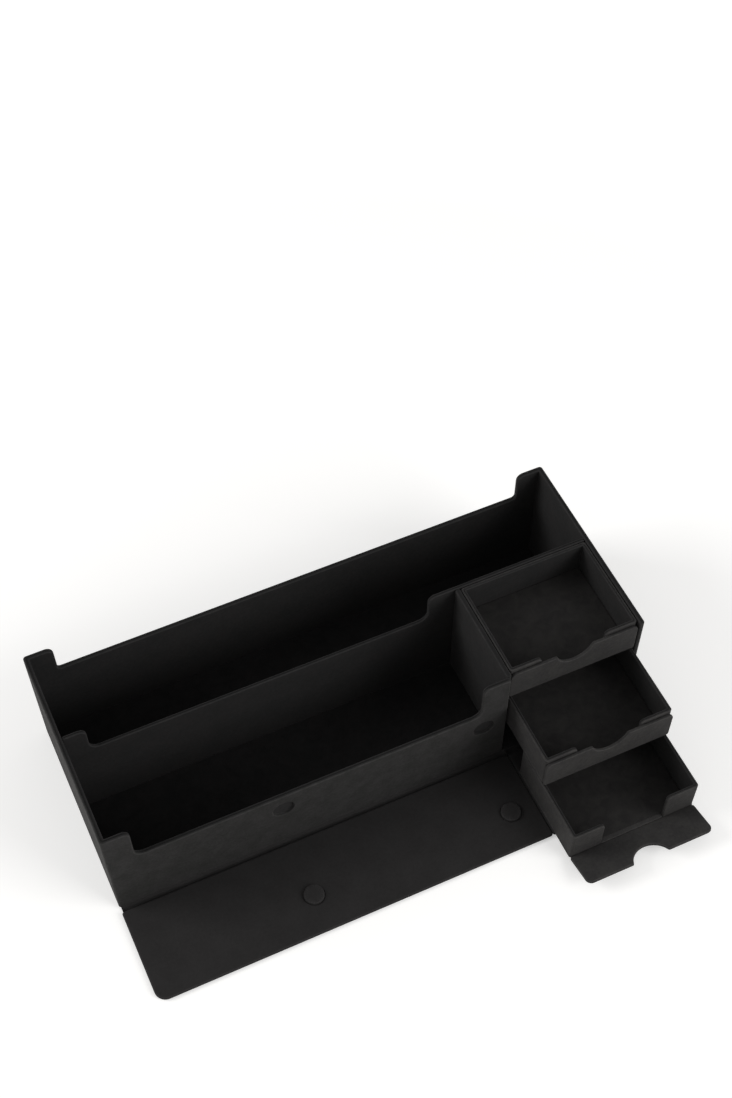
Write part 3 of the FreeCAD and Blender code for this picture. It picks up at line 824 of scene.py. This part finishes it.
# %% Three drawers
HINGE_GAP, FOLDED_OUT = 0.3, math.radians(75)
HANG, UNDER_PLATE, BEND_RADIUS, UP_FLAP = 0.45, 0.8, 1.0, 1.6
leaf_low, leaf_high = node_box("top_flap")
leaf_thick, leaf_reach = (leaf_high - leaf_low)[1:]
for name, fold in (("top", 0), ("middle", 0), ("bottom", FOLDED_OUT)):
    body = name + "_drawer"
    low, high = node_box(name + "_tray")
    dress(tray_walls(name + "_tray_walls", low, high), body, "drawer_board", name + "_tray")
    dress(tray_floor(name + "_tray_floor", low, high), body, "drawer_board")
    low, high = node_box(name + "_base_plate")
    plate = board(name + "_base_plate_cover", rectangle(low[:2], high[:2], SHEET_ROUND), high[2] - low[2],
                  lying(low[2]), DRAWER_COVER, edge=0.6)
    dress(plate, body, "drawer_board", name + "_base_plate")

    front, foot = low[1], low[2]
    up = np.array([0, -math.sin(fold), math.cos(fold)])
    out = np.cross(X_AXIS, up)
    axis = np.array([(low[0] + high[0]) / 2, front - HINGE_GAP - leaf_thick / 2, foot + leaf_thick / 2])
    place = flat(axis - (up + out) * leaf_thick / 2, X_AXIS, up)
    leaf = board(name + "_flap_cover", flap_corners((high[0] - low[0]) / 2, 0, leaf_reach), leaf_thick, place,
                 DRAWER_COVER, edge=FLAP_FRONT_EDGE, step=4.0, top_shade=TRAY_TOP_SHADE)
    dress(leaf, body + "_flap", "drawer_board", name + "_flap")

    hang = foot + HANG
    bend = np.linspace(0, math.pi / 2 - fold, 6)
    curve = np.c_[front - UNDER_PLATE - BEND_RADIUS * np.sin(bend), hang + BEND_RADIUS * (1 - np.cos(bend))]
    line = across([(front + UNDER_PLATE, hang), *curve, curve[-1] + UP_FLAP * up[1:]])
    hinge = strip(name + "_flap_hinge_cover", line, low[0] + STRIP_END, high[0] - STRIP_END, DRAWER_COVER)
    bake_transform(hinge)

# %% [markdown]
# ## The magnets
# The magnets are plain discs and never show, so the frame's own solids stay and only get the plating.

# %% Magnets
plated = [node for name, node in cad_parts.items() if "magnets" in name]
for node in plated:
    node.data.materials.clear()
    node.data.materials.append(NICKEL)
print("plated:", len(plated), "nodes")

# %% [markdown]
# ## Floor, light and camera
# A pale floor, a white surround and two soft lamps that face each other across the box. The one at the left
# and back lets the front wall shade the flap, the one at the right and front lights the faces that the
# camera sees. The floor adds a little white only where it is seen directly or in a gloss, so that it looks
# like the seamless paper of a studio and still keeps the box's soft shadow. The camera stands where a fit of
# the case's edges in the picture puts it.

# %% Floor and surround
FLOOR_HALF = 6.0
FLOOR_DROP = 0.3 * MM
NEAR, FAR = 0.6, 1.6


def seen_directly(tree):
    """1 for a ray that the camera sees straight, in a gloss or through glass, else 0."""
    path = add(tree, "LightPath", {})
    gloss = add(tree, "Math", {0: path.outputs["Is Camera Ray"], 1: path.outputs["Is Glossy Ray"]},
                operation="ADD")
    return add(tree, "Math", {0: gloss.outputs[0], 1: path.outputs["Is Transmission Ray"]},
               operation="ADD", use_clamp=True).outputs[0]


def studio_paper(name, pale, lift):
    """Matt white paper that adds the strength lift where it is seen directly, and more far from the box."""
    material, tree, out = new_material(name)
    where = add(tree, "TexCoord", {}).outputs["Object"]
    fibre = add(tree, "TexNoise", {"Vector": where, "Scale": per_metre(3), "Detail": 2.0})
    bump = add(tree, "Bump", {"Height": fibre.outputs["Fac"], "Strength": 0.05, "Distance": 0.1 * MM})
    paper = add(tree, "BsdfDiffuse", {"Color": colour(pale), "Normal": bump.outputs[0]})
    far = add(tree, "VectorMath", {0: where}, operation="LENGTH")
    rise = add(tree, "MapRange", {"Value": far.outputs["Value"], "From Min": NEAR, "From Max": FAR,
                                  "To Min": lift, "To Max": 1.0})
    strength = add(tree, "Math", {0: seen_directly(tree), 1: rise.outputs[0]}, operation="MULTIPLY")
    glow = add(tree, "Emission", {"Color": colour("#ffffff"), "Strength": strength.outputs[0]})
    both = add(tree, "AddShader", {0: paper.outputs[0], 1: glow.outputs[0]})
    tree.links.new(both.outputs[0], out.inputs["Surface"])
    return material


floor_mesh = bpy.data.meshes.new("floor")
floor_corners = [(-1, -1), (1, -1), (1, 1), (-1, 1)]
floor_mesh.from_pydata([(FLOOR_HALF * x, FLOOR_HALF * y, -FLOOR_DROP) for x, y in floor_corners], [],
                       [(0, 1, 2, 3)])
floor_mesh.materials.append(studio_paper("paper_white_matt", "#e6e5e3", 0.4))
floor = bpy.data.objects.new("floor", floor_mesh)
bpy.context.scene.collection.objects.link(floor)

world = bpy.data.worlds.new("white_surround")
bpy.context.scene.world = world
world.use_nodes = True
world.node_tree.nodes.clear()
SURROUND = 0.38
sky_seen = add(world.node_tree, "MapRange", {"Value": seen_directly(world.node_tree), "To Min": SURROUND,
                                             "To Max": 1.0})
sky = add(world.node_tree, "Background", {"Color": colour("#ffffff"), "Strength": sky_seen.outputs[0]})
world_out = world.node_tree.nodes.new("ShaderNodeOutputWorld")
world.node_tree.links.new(sky.outputs[0], world_out.inputs["Surface"])
print("floor at", round(-FLOOR_DROP / MM, 2), "mm, surround", SURROUND)

# %% Lamps


def soft_lamp(name, at, aim, size, watts):
    """A square area lamp at a point, turned to its aim."""
    data = bpy.data.lights.new(name, "AREA")
    data.size = size
    data.energy = watts
    lamp = bpy.data.objects.new(name, data)
    lamp.location = at
    lamp.rotation_euler = (Vector(aim) - Vector(at)).to_track_quat("-Z", "Y").to_euler()
    bpy.context.scene.collection.objects.link(lamp)


soft_lamp("key_left_back", (-2.6, 1.2, 1.6), (0, -0.05, 0.05), 1.6, 56)
soft_lamp("fill_right_front", (1.8, -2.0, 1.4), (0, -0.05, 0.05), 1.8, 48)

# %% Camera
PICTURE = (732, 1098)
FOCAL_PIXELS = 1626.3
AXIS_PIXEL = (364.7, 672.0)
AZIMUTH, ELEVATION, ROLL = (math.radians(a) for a in (-24.23, 57.64, -0.49))
DISTANCE = 1286 * MM
TARGET = Vector((24.2, 2.8, 44.0)) * MM
SENSOR = 36.0

backward = Vector((math.sin(AZIMUTH) * math.cos(ELEVATION), -math.cos(AZIMUTH) * math.cos(ELEVATION),
                   math.sin(ELEVATION)))
level = Vector((math.cos(AZIMUTH), math.sin(AZIMUTH), 0))
upward = backward.cross(level)
right = math.cos(ROLL) * level + math.sin(ROLL) * upward
above = math.cos(ROLL) * upward - math.sin(ROLL) * level
camera_data = bpy.data.cameras.new("camera")
camera_data.sensor_width = SENSOR
camera_data.lens = FOCAL_PIXELS / max(PICTURE) * SENSOR
camera_data.shift_x = (PICTURE[0] / 2 - AXIS_PIXEL[0]) / max(PICTURE)
camera_data.shift_y = (AXIS_PIXEL[1] - PICTURE[1] / 2) / max(PICTURE)
camera = bpy.data.objects.new("camera", camera_data)
camera.matrix_world = Matrix.Translation(TARGET + DISTANCE * backward) @ Matrix(
    (right, above, backward)).transposed().to_4x4()
bpy.context.scene.collection.objects.link(camera)
bpy.context.scene.camera = camera
bpy.context.scene.view_settings.view_transform = "Standard"
print("lens", round(camera_data.lens, 1), "mm at", [round(x, 2) for x in camera.location], "m")
